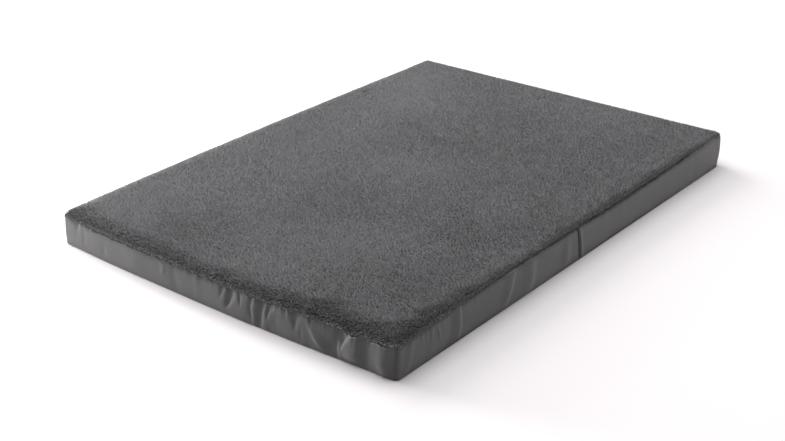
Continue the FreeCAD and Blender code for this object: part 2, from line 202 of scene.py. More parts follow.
def finish_piece(piece, materials, node_name):
    """Give a piece its materials, and let it ride on the pad in place of a CAD node."""
    for material in materials:
        piece.data.materials.append(material)
    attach(piece, "mattress")
    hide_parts(node_name)


# ---------- plan of the pad

# Distances round the pad run clockwise seen from above, from the middle of the -Y side
# towards -X. These are the four corners, on which side of X and Y each of them lies, and
# how round it is.
ROUND = 2 * (LENGTH + WIDTH)
HALF_X = LENGTH / 2
HALF_Y = WIDTH / 2
FRONT = HALF_X
LEFT = FRONT + WIDTH
BACK = LEFT + LENGTH
RIGHT = BACK + WIDTH
CORNERS = [FRONT, LEFT, BACK, RIGHT]
CORNER_SIGNS = [(-1, -1), (-1, 1), (1, 1), (1, -1)]
CORNER_ROUNDS = [8 * MM, 5 * MM, 10 * MM, 16 * MM]


def settle(x, y):
    """Bow the sides as the filling does: the -X side and the +Y side stand out a little."""
    along = np.clip(x / LENGTH + 0.5, 0, 1)
    across = np.clip(y / WIDTH + 0.5, 0, 1)
    return (x - FRONT_BOW * np.sin(np.pi * across) * (1 - along) ** 2,
            y + FAR_BOW * np.sin(np.pi * along) * across ** 2)


def outline(distance, outward=0.0):
    """Points of the plan at distances round it, moved outwards, before it settles."""
    distance = np.mod(distance, ROUND)
    outward = np.broadcast_to(outward, distance.shape)
    before = [distance < corner for corner in CORNERS]
    x = np.select(before, [-distance, -HALF_X, distance - LEFT - HALF_X, HALF_X],
                  ROUND - distance)
    y = np.select(before, [-HALF_Y, distance - FRONT - HALF_Y, HALF_Y,
                           HALF_Y - (distance - BACK)], -HALF_Y)
    turn = np.select(before, [-0.5, -1.0, -1.5, -2.0], -2.5) * math.pi
    for index, (corner, radius) in enumerate(zip(CORNERS, CORNER_ROUNDS)):
        share = (distance - corner + radius) / (2 * radius)
        rounded = (share > 0) & (share < 1)
        angle = -math.pi / 2 * (1 + index + np.clip(share, 0, 1))
        sign_x, sign_y = CORNER_SIGNS[index]
        x = np.where(rounded, sign_x * (HALF_X - radius) + radius * np.cos(angle), x)
        y = np.where(rounded, sign_y * (HALF_Y - radius) + radius * np.sin(angle), y)
        turn = np.where(rounded, angle, turn)
    return x + outward * np.cos(turn), y + outward * np.sin(turn)


def locate(x, y):
    """For points inside the plan: the distance round it that is nearest, and how deep."""
    depths = np.stack([y + HALF_Y, x + HALF_X, HALF_Y - y, HALF_X - x])
    places = np.stack([FRONT - (x + HALF_X), FRONT + y + HALF_Y,
                       LEFT + x + HALF_X, BACK + HALF_Y - y])
    nearest = np.argmin(depths, axis=0)
    depth = np.take_along_axis(depths, nearest[None], axis=0)[0]
    place = np.take_along_axis(places, nearest[None], axis=0)[0]
    for radius, (sign_x, sign_y) in zip(CORNER_ROUNDS, CORNER_SIGNS):
        over_x = np.maximum(sign_x * x - (HALF_X - radius), 0)
        over_y = np.maximum(sign_y * y - (HALF_Y - radius), 0)
        rounded = (over_x > 0) & (over_y > 0)
        depth = np.where(rounded, radius - np.hypot(over_x, over_y), depth)
    return np.mod(place, ROUND), depth


def round_profile(knots):
    """A smooth closed curve over the distance round, through a few knots in thousandths."""
    places = np.array([place for place, _ in knots]) % ROUND
    heights = np.array([height for _, height in knots]) / 1000
    order = np.argsort(places)

    def value(distance):
        samples = [np.interp(np.mod(distance + shift, ROUND), places[order], heights[order],
                             period=ROUND)
                   for shift in np.linspace(-18 * MM, 18 * MM, 5)]
        return np.mean(samples, axis=0)

    return value


def near(distance):
    """A distance along the -Y side, in mm from the front corner, as a distance round."""
    return FRONT - distance * MM


def front(distance):
    """The same along the -X side."""
    return FRONT + distance * MM


# At places round the pad, in mm: the height of the upper seam, how far it lies in from the
# side, the width of the plush's rounded rim, and how far the cloth turns in at the bottom.
seam_rise = round_profile([
    (near(970), 66.5), (near(900), 65), (near(800), 62.5), (near(650), 60), (near(560), 59),
    (near(490), 62.5), (near(260), 62.5), (near(140), 59.5), (near(60), 55.5), (near(0), 53.5),
    (front(60), 51.5), (front(250), 49.5), (front(400), 47.5), (front(620), 46.5),
    (front(690), 49), (LEFT + 0.1, 52), (BACK - 0.1, 54), (BACK, 57), (BACK + 0.05, 54),
    (RIGHT - 0.05, 56),
])
seam_inset = round_profile([
    (near(970), 4), (near(900), 3.5), (near(800), 3.5), (near(560), 3), (near(260), 3),
    (near(140), 2), (near(0), 1), (front(300), 1), (LEFT, 1), (BACK, 3), (BACK + 0.05, 1.5),
    (RIGHT - 0.05, 1.5),
])
rim_width = round_profile([
    (near(900), 14), (near(300), 12), (near(120), 22), (near(0), 34), (front(150), 34),
    (front(400), 24), (front(600), 30), (LEFT, 36), (BACK, 18), (RIGHT, 16),
])
lower_round = round_profile([
    (near(900), 2.5), (near(600), 3.5), (near(100), 3.5), (near(0), 2), (front(60), 2),
    (front(450), 1.5), (front(560), 0.2), (LEFT, 0.2), (BACK, 4), (RIGHT, 3),
])
# How much painted shade darkens the pile of the rim, where it rolls away from the light, in
# thousandths of the full darkening.
rim_shade = round_profile([
    (near(950), 700), (near(800), 700), (near(650), 850), (near(300), 700), (near(120), 900),
    (near(0), 1000), (front(150), 1000), (front(330), 650), (front(600), 700), (LEFT, 1000),
    (LEFT + 0.05, 300), (BACK, 100), (RIGHT, 200),
])


def scallops(distance):
    """The small ups and downs of the upper seam."""
    strength = 0.35 + hump(distance, front(170), 0.26, 0.3)
    return 0.75 * MM * strength * wave_field(distance, 0 * distance, 9 * MM, 71)


def seam_height(distance):
    return seam_rise(distance) + scallops(distance)


def root_height(x, y):
    """Height of the cloth that the pile grows from, at points of the plan."""
    distance, depth = locate(x, y)
    inset = seam_inset(distance)
    width = rim_width(distance)
    seam = seam_height(distance)
    share = np.clip((depth - inset) / width, 0, 1)
    rim = np.sqrt(np.maximum(1 - (1 - share) ** 2.2, 0))
    crown = CROWN + CROWN_SLOPE * (x / LENGTH + 0.5) * (0.5 - y / WIDTH)
    dips = 0.25 * MM * wave_field(x, y, 90 * MM, 11) + 0.06 * MM * wave_field(x, y, 22 * MM, 12)
    return seam + (crown + dips - seam) * rim


def rim_place(distance, depth):
    """Points of the plan at a depth in from its edge, drawn in towards the middle."""
    edge_x, edge_y = outline(distance)
    return edge_x * (1 - 2 * depth / LENGTH), edge_y * (1 - 2 * depth / WIDTH)


def shoulder_height(inset):
    """How far below the upper seam the side cloth starts to turn over the edge."""
    return 5 * MM + 0.9 * inset


def cover_height(x, y):
    """Height of the cover over the filling, with the side cloth that turns over the edge."""
    distance, depth = locate(x, y)
    inset = seam_inset(distance)
    turned = shoulder_height(inset) * turned_edge(np.clip(1 - depth / inset, 0, 1))
    return root_height(x, y) - turned


# ---------- materials

def set_inputs(shader_node, **values):
    """Set constants on a node's own sockets."""
    for key, value in values.items():
        shader_node.inputs[key.replace("_", " ")].default_value = value


def new_material(name, roughness, sheen=0.0, metallic=0.0, specular=0.5):
    """A plain material, its shader tree and its shader."""
    made = bpy.data.materials.new(name)
    made.use_nodes = True
    shader = made.node_tree.nodes["Principled BSDF"]
    set_inputs(shader, Roughness=roughness, Sheen_Weight=sheen, Metallic=metallic,
               Specular_IOR_Level=specular)
    return made, made.node_tree, shader


def node(tree, kind, **settings):
    """A shader node; a setting is one of its own, or the value of one of its inputs."""
    made = tree.nodes.new(kind)
    for key, setting in settings.items():
        if hasattr(made, key):
            setattr(made, key, setting)
        else:
            set_inputs(made, **{key: setting})
    return made


def texture(tree, kind, output, **settings):
    """A texture in object space, which is in metres."""
    space = node(tree, "ShaderNodeTexCoord")
    made = node(tree, kind, **settings)
    tree.links.new(space.outputs["Object"], made.inputs["Vector"])
    return made.outputs[output]


def noise(tree, scale, detail):
    return texture(tree, "ShaderNodeTexNoise", "Fac", Scale=scale, Detail=detail)


def ramp(tree, source, dark, light, low=0.3, high=0.7):
    """Colours from dark to light as the source goes from low to high."""
    made = node(tree, "ShaderNodeValToRGB")
    for stop, place, colour in zip(made.color_ramp.elements, (low, high), (dark, light)):
        stop.position = place
        stop.color = (*colour, 1)
    tree.links.new(source, made.inputs["Fac"])
    return made.outputs["Color"]


def scaled(colour, share):
    return tuple(part * share for part in colour)


def bump(tree, shader, source, distance):
    """Raise and lower the surface by up to a distance, as the source goes from 0 to 1."""
    made = node(tree, "ShaderNodeBump", Distance=distance, Strength=1)
    tree.links.new(source, made.inputs["Height"])
    tree.links.new(made.outputs["Normal"], shader.inputs["Normal"])


def uneven_colour(tree, shader, colour, scale, spread):
    """A colour that changes a little from place to place."""
    tone = noise(tree, scale, 4)
    colours = ramp(tree, tone, scaled(colour, 1 - spread), scaled(colour, 1 + spread))
    tree.links.new(colours, shader.inputs["Base Color"])
    return tone


def woven(name, colour, roughness, thread=0.5 * MM, relief=0.05 * MM, sheen=0.2,
          specular=0.5, spread=0.12):
    """Woven cloth: crossed threads along its UV map, with a slow change of tone."""
    made, tree, shader = new_material(name, roughness, sheen=sheen, specular=specular)
    uneven_colour(tree, shader, colour, 26, spread)
    uv = node(tree, "ShaderNodeUVMap", uv_map="cloth")
    both = node(tree, "ShaderNodeMath", operation="MULTIPLY")
    for index, direction in enumerate("XY"):
        threads = node(tree, "ShaderNodeTexWave", wave_type="BANDS", bands_direction=direction,
                       Scale=0.1 / thread, Distortion=0.4)
        tree.links.new(uv.outputs["UV"], threads.inputs["Vector"])
        tree.links.new(threads.outputs["Fac"], both.inputs[index])
    bump(tree, shader, both.outputs["Value"], relief)
    return made


def mottled(name, colour, roughness, scale, relief=0.0, metallic=0.0):
    """A solid material whose tone, gloss and surface are a little uneven."""
    made, tree, shader = new_material(name, roughness, metallic=metallic)
    tone = uneven_colour(tree, shader, colour, scale, 0.1)
    gloss = node(tree, "ShaderNodeMapRange", To_Min=roughness * 0.85, To_Max=roughness * 1.15)
    tree.links.new(tone, gloss.inputs["Value"])
    tree.links.new(gloss.outputs["Result"], shader.inputs["Roughness"])
    if relief:
        bump(tree, shader, noise(tree, scale * 6, 2), relief)
    return made


def foam(name, colour):
    """Open-cell foam: a pitted surface with small pores, and painted shade in the pits."""
    made, tree, shader = new_material(name, 0.95, specular=0.2)
    pores = texture(tree, "ShaderNodeTexVoronoi", "Distance", Scale=700)
    # Painted shade: the colour is darker in the pits of the pores.
    colours = ramp(tree, pores, scaled(colour, 0.72), colour, 0.0, 0.6)
    tree.links.new(colours, shader.inputs["Base Color"])
    bump(tree, shader, pores, 0.5 * MM)
    return made


def pile_fibre(name, colour):
    """The fibre of a strand, in one of the pile's tones."""
    made, _, shader = new_material(name, 0.85, sheen=0.35, specular=0.3)
    set_inputs(shader, Base_Color=(*colour, 1), Sheen_Tint=(0.8, 0.8, 0.82, 1))
    return made


PILE_GREY = (0.112, 0.1135, 0.1165)
# The darkest tones serve mostly for the painted shade of the rim; the rest differ at random from
# strand to strand.
PILE_TONES = [0.4, 0.55, 0.7, 0.82, 0.92, 1.0, 1.08]
pile_fibres = [pile_fibre(f"pile_tone_{index}", scaled(PILE_GREY, share))
               for index, share in enumerate(PILE_TONES)]
backing_cloth = woven("backing_cloth", (0.03, 0.03, 0.032), 0.9, thread=1.5 * MM,
                      relief=0.2 * MM)
satin_cloth = woven("satin_cloth", (0.084, 0.083, 0.0858), 0.5, specular=0.12, spread=0.06)
base_cloth = woven("base_cloth", (0.05, 0.05, 0.054), 0.7, thread=1.2 * MM, relief=0.2 * MM)
tape_cloth = woven("tape_cloth", (0.03, 0.03, 0.032), 0.75, thread=0.7 * MM, relief=0.15 * MM)
ribbon_cloth = woven("ribbon_cloth", (0.33, 0.33, 0.32), 0.5, thread=0.4 * MM)
sewing_thread = mottled("thread", (0.06, 0.06, 0.064), 0.8, 300)
nylon = mottled("nylon", (0.022, 0.022, 0.024), 0.38, 60)
slider_enamel = mottled("slider_enamel", (0.035, 0.035, 0.038), 0.3, 180, relief=0.05 * MM,
                        metallic=0.6)
pressed_steel = mottled("pressed_steel", (0.42, 0.42, 0.43), 0.34, 220, relief=0.03 * MM,
                        metallic=1.0)
liner_film = mottled("liner_film", (0.6, 0.64, 0.66), 0.35, 12)
pale_foam = foam("pale_foam", (0.66, 0.68, 0.7))
cream_foam = foam("cream_foam", (0.8, 0.77, 0.62))


# ---------- camera, light and floor

# The camera stands off the front corner, and its place is measured from that corner of the
# base. The angles are the way that it looks, and the lens is in mm.
CAMERA_PLACE = Vector((-1.2842, -0.9924, 1.0100)) * LENGTH
LOOK_ACROSS = math.radians(37.98)
LOOK_DOWN = math.radians(25.14)
CAMERA_ROLL = math.radians(0.39)
CAMERA_LENS = 62.9


def make_camera():
    data = bpy.data.cameras.new("camera")
    data.lens = CAMERA_LENS
    data.sensor_width = 36
    camera = add_object("camera", data)
    camera.location = Vector((base_low.x, base_low.y, 0)) + CAMERA_PLACE
    ahead = Vector((math.cos(LOOK_ACROSS) * math.cos(LOOK_DOWN),
                    math.sin(LOOK_ACROSS) * math.cos(LOOK_DOWN),
                    -math.sin(LOOK_DOWN)))
    camera.rotation_mode = "QUATERNION"
    roll = Quaternion((0, 0, 1), CAMERA_ROLL)
    camera.rotation_quaternion = ahead.to_track_quat("-Z", "Y") @ roll
    bpy.context.scene.camera = camera


# Soft lamps: two behind the pad, one at its right, one before it and a wide one overhead.
# Each has its kind, place, power and size.
LAMPS = [
    ("POINT", (-0.8, 1.4, 0.31), 132, 0.3),
    ("POINT", (0.6, 2.3, 1.5), 335, 1.2),
    ("POINT", (2.4, -0.3, 1.2), 25, 1.1),
    ("POINT", (0.3, -1.5, 0.8), 14, 0.6),
    ("AREA", (0, 0.3, 3.2), 80, 3.6),
]


def make_lamp(kind, place, power, size):
    """A lamp that shines on the middle of the pad."""
    data = bpy.data.lights.new("lamp", kind)
    data.energy = power
    if kind == "AREA":
        data.shape = "DISK"
        data.size = size
    else:
        data.shadow_soft_size = size
    light = add_object("lamp", data)
    light.location = place
    light.visible_camera = False
    light.rotation_mode = "QUATERNION"
    light.rotation_quaternion = (Vector() - Vector(place)).to_track_quat("-Z", "Y")


def make_stage():
    """A wide pale floor under a faint white sky, and the lamps."""
    world = bpy.data.worlds.new("studio")
    bpy.context.scene.world = world
    world.use_nodes = True
    set_inputs(world.node_tree.nodes["Background"], Color=(1, 1, 1, 1), Strength=0.3)
    for settings in LAMPS:
        make_lamp(*settings)
    span = 30
    corners = [(-span, -span, 0), (span, -span, 0), (span, span, 0), (-span, span, 0)]
    floor = build("floor", corners, [(0, 1, 2, 3)], smooth=False)
    paint, _, shader = new_material("floor_paint", 0.9, specular=0.1)
    set_inputs(shader, Base_Color=(0.8, 0.77, 0.782, 1))
    floor.data.materials.append(paint)
    view = bpy.context.scene.view_settings
    view.view_transform = "Standard"
    view.look = "None"


# ---------- plush top

def top_backing():
    """The cloth under the pile, in rings from the seam to the middle."""
    around = 900
    distance = (np.arange(around) + 0.5) * ROUND / around
    rows = [rim_place(distance, seam_inset(distance) + share * rim_width(distance))
            for share in (0, 0.04, 0.1, 0.2, 0.32, 0.46, 0.62, 0.8, 1.0)]
    last_x, last_y = rows[-1]
    for share in np.linspace(1, 0.001, 30)[1:]:
        rows.append((last_x * share, last_y * share))
    x, y = np.array(rows).swapaxes(0, 1)
    z = root_height(x, y)
    z[0] = seam_height(distance)
    points = triples(*settle(x, y), z)
    piece = build("plush_backing", points, grid_faces(len(rows), around, closed=True),
                  uv=points[:, :2])
    thicken(piece, FABRIC, 1)
    finish_piece(piece, [backing_cloth], "top_panel")
    return piece


def tuft_roots():
    """Where the tufts grow: one at random in each cell of a net, and rows along the rim."""
    draw = np.random.default_rng(5)
    column, row = np.meshgrid(np.arange(int(LENGTH / TUFT_GAP)), np.arange(int(WIDTH / TUFT_GAP)))
    x = (column.ravel() + draw.uniform(0, 1, column.size)) * TUFT_GAP - HALF_X
    y = (row.ravel() + draw.uniform(0, 1, row.size)) * TUFT_GAP - HALF_Y
    distance, depth = locate(x, y)
    keep = depth > seam_inset(distance) + 0.3 * rim_width(distance)
    roots = [(x[keep], y[keep])]
    for share in (0.003, 0.03, 0.075, 0.135, 0.21, 0.3):
        count = int(ROUND / (TUFT_GAP * 0.8))
        distance = (np.arange(count) + draw.uniform(-0.4, 0.4, count)) * ROUND / count
        roots.append(rim_place(distance, seam_inset(distance) + 0.2 * MM + rim_width(distance) * (
            share * draw.uniform(0.8, 1.2, count))))
    return np.concatenate(roots, axis=1)


def pile_normals(x, y):
    """The direction straight out of the cloth, where slopes over the steepest are eased."""
    step = 0.3 * MM
    slope_x = (root_height(x + step, y) - root_height(x - step, y)) / (2 * step)
    slope_y = (root_height(x, y + step) - root_height(x, y - step)) / (2 * step)
    steep = np.maximum(np.hypot(slope_x, slope_y) / STEEPEST, 1)
    return unit(triples(-slope_x / steep, -slope_y / steep, np.ones(len(x))))


def pile_lean(x, y, distance, hanging, normal, draw):
    """The way each strand leans: with the lie of the pile, and outwards where it hangs."""
    lie = 2.2 + 0.15 * wave_field(x, y, 140 * MM, 21) + 0.1 * wave_field(x, y, 12 * MM, 22)
    lie += draw.normal(0, 0.6, len(x))
    edge_x, edge_y = outline(distance)
    past_x, past_y = outline(distance, 1.0)
    outward = triples(past_x - edge_x, past_y - edge_y, 0 * lie)
    lean = triples(np.cos(lie), np.sin(lie), 0 * lie) + 2.5 * hanging[:, None] * outward
    lean -= normal * np.sum(lean * normal, axis=1)[:, None]
    return unit(lean)


def strand_tones(x, y, distance, near_rim, ruffled, draw):
    """The number of the pile's tone on each face of each strand, darker at the root, with painted
    shade along the rim.
    """
    tone = 4.9 + 0.1 * wave_field(x, y, 9 * MM, 41)
    tone += draw.normal(0, 1, len(x)) * (0.75 + 0.8 * ruffled)
    # Painted shade: strands near the rim are darkened where the pile rolls away from the light.
    tone -= 4.2 * near_rim * rim_shade(distance)
    last = len(PILE_TONES) - 1
    darker = np.repeat([1, 0], [6, 3])
    return np.clip(np.round(tone[:, None] - darker), 0, last).astype(np.int32)


# A strand has two rings of three points and a tip: six faces below and three above.
STRAND_TRIANGLES = np.array([
    (0, 1, 4), (0, 4, 3), (1, 2, 5), (1, 5, 4), (2, 0, 3), (2, 3, 5),
    (3, 4, 6), (4, 5, 6), (5, 3, 6),
])


def pile_tile(number, points, facings, tones):
    """A piece of many strands, shaded by the given direction of each of its points."""
    corners = points.reshape(-1, 3)
    faces = (np.arange(len(points))[:, None, None] * 7 + STRAND_TRIANGLES).reshape(-1, 3)
    piece = build(f"plush_pile_{number}", corners, faces)
    piece.data.polygons.foreach_set("material_index", tones.ravel())
    piece.data.normals_split_custom_set_from_vertices(facings.reshape(-1, 3))
    finish_piece(piece, pile_fibres, "top_panel")
    return piece


def pile():
    """Tufts of curved strands, in tiles."""
    draw = np.random.default_rng(8)
    x, y = tuft_roots()
    x = np.repeat(x, STRANDS)
    y = np.repeat(y, STRANDS)
    count = len(x)
    x += draw.normal(0, 0.5 * MM, count)
    y += draw.normal(0, 0.5 * MM, count)
    distance, depth = locate(x, y)
    inward = depth - seam_inset(distance)
    # A strand that would start past the seam is drawn in a little.
    x = np.where(inward < 0.2 * MM, x * 0.9984, x)
    y = np.where(inward < 0.2 * MM, y * 0.9978, y)
    normal = pile_normals(x, y)
    # near_rim is 1 along the rim, with a streaky edge: it places the painted shade of the rim, and
    # rounds the strands' shading there.
    streaks = wave_field((0.62 * x - 0.79 * y) / 3, 0.79 * x + 0.62 * y, 17 * MM, 31)
    near_rim = 1 - smooth_step(0.2, 1.3, inward / rim_width(distance) + 0.26 * streaks)
    ruffled = near_rim * hump(distance, FRONT, 0.2, 0.15)
    hanging = 1 - smooth_step(1 * MM, 5 * MM, inward)
    lean = pile_lean(x, y, distance, hanging, normal, draw)
    side = np.cross(normal, lean)
    length = PILE_LENGTH * draw.uniform(0.75, 1.1, count)
    amount = draw.uniform(0.45, 0.9, count) + 0.04 * wave_field(x, y, 14 * MM, 23)
    radius = draw.uniform(0.55, 0.9, count) * MM
    twist = draw.uniform(-0.5, 0.5, count)
    root = triples(*settle(x, y), root_height(x, y)) - normal * 0.3 * MM

    def centre(share):
        """A place along each strand, at a share of its length."""
        rise = np.sin(share * (1.45 - 0.35 * amount)) * length
        forward = share ** 1.6 * amount * length * 0.85
        sideways = twist * share ** 2 * length * 0.6
        place = root + normal * rise[:, None] + lean * forward[:, None] + side * sideways[:, None]
        place[:, 2] -= hanging * share ** 2 * length * 0.75
        return place

    turn = draw.uniform(0, 2 * math.pi, count)
    roundness = (STRAND_ROUNDNESS + 0.1 * near_rim + 0.4 * ruffled)[:, None]
    points = []
    facings = []
    for place, width in ((root, 1.0), (centre(0.55), 0.85)):
        for corner in range(3):
            angle = turn + corner * 2 * math.pi / 3
            spread = lean * np.cos(angle)[:, None] + side * np.sin(angle)[:, None]
            points.append(place + spread * (radius * width)[:, None])
            facings.append(spread * roundness + normal * (1 - roundness))
    points = np.stack([*points, centre(1)], axis=1)
    facings = unit(np.stack([*facings, normal], axis=1))
    tones = strand_tones(x, y, distance, near_rim, ruffled, draw)
    parts = np.array_split(np.argsort(x, kind="stable"), PILE_TILES)
    return [pile_tile(number, points[members], facings[members], tones[members])
            for number, members in enumerate(parts, 1)]


def plush_top():
    """The backing cloth and the pile that is sewn to it."""
    backing = top_backing()
    pile()


# ---------- side cloth

# Folds of the side cloth: where (in mm from the front corner), the widths of the two
# flanks towards and away from that corner, how far it stands out, how far it leans from
# bottom to top, and the shares of the height between which it shows.
FRONT_FOLDS = [
    (0, 1, 12, -4.0, 0, -0.3, 1.3),
    (17, 8, 27, 7.0, -4, -0.3, 1.3),
    (71, 8, 26, 6.5, -8, 0.15, 1.3),
    (97, 5, 24, -6.2, -22, 0.5, 1.3),
    (106, 4, 17, -4.0, 0, 0.0, 0.6),
    (143, 11, 7, 1.8, 32, 0.05, 0.85),
    (171, 2, 3, -0.6, 0, 0.2, 0.55),
    (184, 8, 7, -2.6, -6, 0.55, 1.3),
    (218, 8, 6, -0.8, 0, -0.3, 0.7),
    (236, 6, 6, -2.6, -14, 0.55, 1.3),
    (250, 6, 7, -4.2, -8, -0.3, 1.3),
    (268, 3, 4, -1.8, 0, 0.2, 1.1),
    (291, 5, 5, -2.4, -6, 0.65, 1.3),
    (315, 9, 8, -3.6, -18, 0.35, 1.3),
    (333, 5, 5, -1.8, -16, 0.6, 1.3),
    (388, 2, 3, -0.8, 0, 0.2, 0.45),
    (430, 9, 9, -0.9, 0, 0.0, 1.1),
    (460, 6, 3, 1.2, -14, 0.5, 0.85),
    (520, 20, 26, 1.0, 0, -0.3, 1.3),
    (596, 3, 5, -0.9, 0, 0.2, 0.6),
    (648, 2, 3, -0.7, 0, 0.3, 1.0),
    (665, 5, 4, -1.4, 0, 0.7, 1.3),
]
NEAR_FOLDS = [
    (24, 10, 7, 1.4, 14, -0.3, 1.3),
    (57, 3, 2, 0.6, 0, 0.7, 1.2),
    (66, 3, 2, 0.6, 0, 0.65, 1.2),
    (78, 5, 2, 0.9, 0, 0.6, 1.2),
    (98, 6, 2.5, 1.6, -22, 0.5, 1.3),
    (124, 12, 12, -1.4, 0, 0.0, 0.9),
    (144, 10, 5, 2.3, 0, -0.3, 1.2),
    (273, 15, 8, 3.2, 14, -0.3, 1.3),
    (331, 15, 12, 3.2, 0, -0.3, 1.0),
    (441, 12, 9, 2.2, 0, 0.0, 0.8),
    (497, 7, 2.5, 1.2, -34, 0.2, 1.3),
]


def folds(distance, height):
    """How far folds push the side cloth out; those that start part-way up open upwards."""
    total = 0
    for side_folds, where, sign in ((FRONT_FOLDS, front, 1), (NEAR_FOLDS, near, -1)):
        for place, before, after, depth, lean, low, high in side_folds:
            crest = where(place + lean * (height - 0.5) + 1.2 * np.sin(6 * height + place))
            before, after = (before, after)[::sign]
            shown = smooth_step(low - 0.2, low + 0.2, height) * (
                1 - smooth_step(high - 0.2, high + 0.2, height))
            opened = 0.45 + 0.75 * smooth_step(low, 1, height) if low > 0.3 else 1
            total += depth * MM * shown * hump(
                distance, crest, before * MM * opened, after * MM * opened)
    return total * (0.2 + 0.8 * smooth_step(-0.05, 0.45, height))


def along_zip(distance):
    """1 on the rear side, where the zip holds the cloth flat, and 0 on the other sides."""
    return smooth_step(BACK, BACK + 20 * MM, distance) * (
        1 - smooth_step(RIGHT - 20 * MM, RIGHT, distance))


def band_section(distance, height, level):
    """How far the side cloth stands out from the plan at a share of its height."""
    inset = seam_inset(distance)
    low_share = np.clip(1 - (level - SIDE_FOOT) / (2 * MM), 0, 1)
    top = seam_height(distance)
    high_share = np.clip(1 - (top - level) / shoulder_height(inset), 0, 1)
    turned_in = MM * turned_edge(low_share)
    sloped = (lower_round(distance) - MM) * np.clip(1 - level / (32 * MM), 0, 1) ** 1.3
    turned_over = inset * turned_edge(high_share)
    bulge = BELLY + (ZIP_BELLY - BELLY) * along_zip(distance)
    return bulge * np.sin(np.pi * np.clip(height, 0, 1)) - turned_in - sloped - turned_over


def band_offset(distance, level):
    """How far the side cloth stands out from the plan, with its folds and small waves."""
    height = level / seam_height(distance)
    total = band_section(distance, height, level) + folds(distance, height)
    lively = 0.25 + hump(distance, front(130), 0.25, 0.22)
    total += 0.2 * MM * lively * wave_field(distance, height * 12 * MM, 14 * MM, 61)
    gathers = smooth_step(0.6, 1.0, height) * lively
    total += 0.35 * MM * gathers * wave_field(distance, 0 * height, 5 * MM, 63)
    slack = (0.5 - 0.4 * along_zip(distance)) * MM
    return total + slack * wave_field(distance, height * 30 * MM, 110 * MM, 62)


def on_side(distance, level):
    """Points on the side cloth, and the direction straight out of it."""
    offset = band_offset(distance, level)
    x, y = settle(*outline(distance, offset))
    past_x, past_y = settle(*outline(distance, offset + MM))
    out = np.stack([past_x - x, past_y - y, 0 * x], axis=-1) / MM
    return np.stack([x, y, level + 0 * x], axis=-1), out


def side_seam(height, which):
    """Distance round the pad of the slanted seam of the -Y side (0) or the +Y side (1)."""
    place = SIDE_SEAM_FOOT + (SIDE_SEAM_HEAD - SIDE_SEAM_FOOT) * height
    place = place - 3 * MM * np.sin(np.pi * height) * (1 - height)
    return -place if which == 0 else ROUND / 2 + place


def rear_place(y):
    """Distance round the pad of a place on the rear side."""
    return BACK + HALF_Y - y


def column_places(start, end):
    """Shares along a strip, closer together where the cloth is folded."""
    fine = np.linspace(start, end, 4001)
    density = 0.34 + hump(fine, front(160), 0.22, 0.14) + 0.7 * hump(fine, near(100), 0.1, 0.08)
    for corner, radius in zip(CORNERS, CORNER_ROUNDS):
        density += 0.7 * hump(fine, corner, radius * 1.5)
    for seam in (0, ROUND / 2, ROUND):
        density += 0.8 * hump(fine, seam, 14 * MM)
    total = np.concatenate([[0], np.cumsum((density[1:] + density[:-1]) / 2)])
    steps = int(total[-1] * (fine[1] - fine[0]) / (1.35 * MM))
    places = np.interp(np.linspace(0, total[-1], steps), total, fine)
    return (places - start) / (end - start)


def straight(place):
    """The end of a strip that is cut straight up, as a function of height."""
    return lambda height: place + 0 * height


def slanted(which, more=0):
    """The end of a strip that is cut along a slanted seam."""
    return lambda height: more + side_seam(height, which)


def with_hem(grids, row, upward):
    """Grids of offset, level and distance, with a hem turned in past their last or first row."""
    offset, level, distance = grids
    hem = []
    for turned, back in ((50, 0), (90, 0), (130, 0), (180, 0), (180, 3), (180, 6)):
        angle = math.radians(turned)
        hem.append((offset[row] - HEM_ROUND * (1 - math.cos(angle)),
                    level[row] + upward * (HEM_ROUND * math.sin(angle) - back * MM),
                    distance[row]))
    rows = [np.array(part) for part in zip(*hem)]
    if upward > 0:
        return [np.vstack(pair) for pair in zip(grids, rows)]
    return [np.vstack([part[::-1], whole]) for whole, part in zip(grids, rows)]


def band(name, start, end, start_edge="butt", end_edge="butt", low_edge=None, high_edge=None):
    """A strip of side cloth between two functions of height.

    It reaches from the base to the upper seam, or ends in a hem at low_edge or high_edge.
    """
    rows = 34 if low_edge is None and high_edge is None else 20
    height = (1 - np.cos(np.linspace(0, math.pi, rows))) / 2
    share = column_places(float(start(0.5)), float(end(0.5)))
    height_grid, share_grid = np.meshgrid(height, share, indexing="ij")
    low = start(height_grid)
    high = end(height_grid)
    distance = low + (high - low) * share_grid
    bottom = SIDE_FOOT if low_edge is None else low_edge
    top = seam_height(distance) if high_edge is None else high_edge
    level = bottom + (top - bottom) * height_grid
    offset = band_offset(distance, level)
    for shape, inside in ((start_edge, distance - low), (end_edge, high - distance)):
        if shape == "sunk":
            offset -= 3.6 * MM * hump(inside, 0, 1.8 * MM)
        if shape == "rolled":
            offset += 1.5 * MM * hump(inside, 3.2 * MM, 2.4 * MM, 6 * MM)
            offset -= 4.5 * MM * hump(inside, 0, 1.1 * MM)
    grids = (offset, level, distance)
    if high_edge is not None:
        grids = with_hem(grids, -1, 1)
    if low_edge is not None:
        grids = with_hem(grids, 0, -1)
    offset, level, distance = grids
    x, y = settle(*outline(distance, offset))
    piece = build(name, triples(x, y, level), grid_faces(*level.shape),
                  uv=np.stack([distance, level], axis=-1).reshape(-1, 2))
    thicken(piece, FABRIC, 1)
    return piece


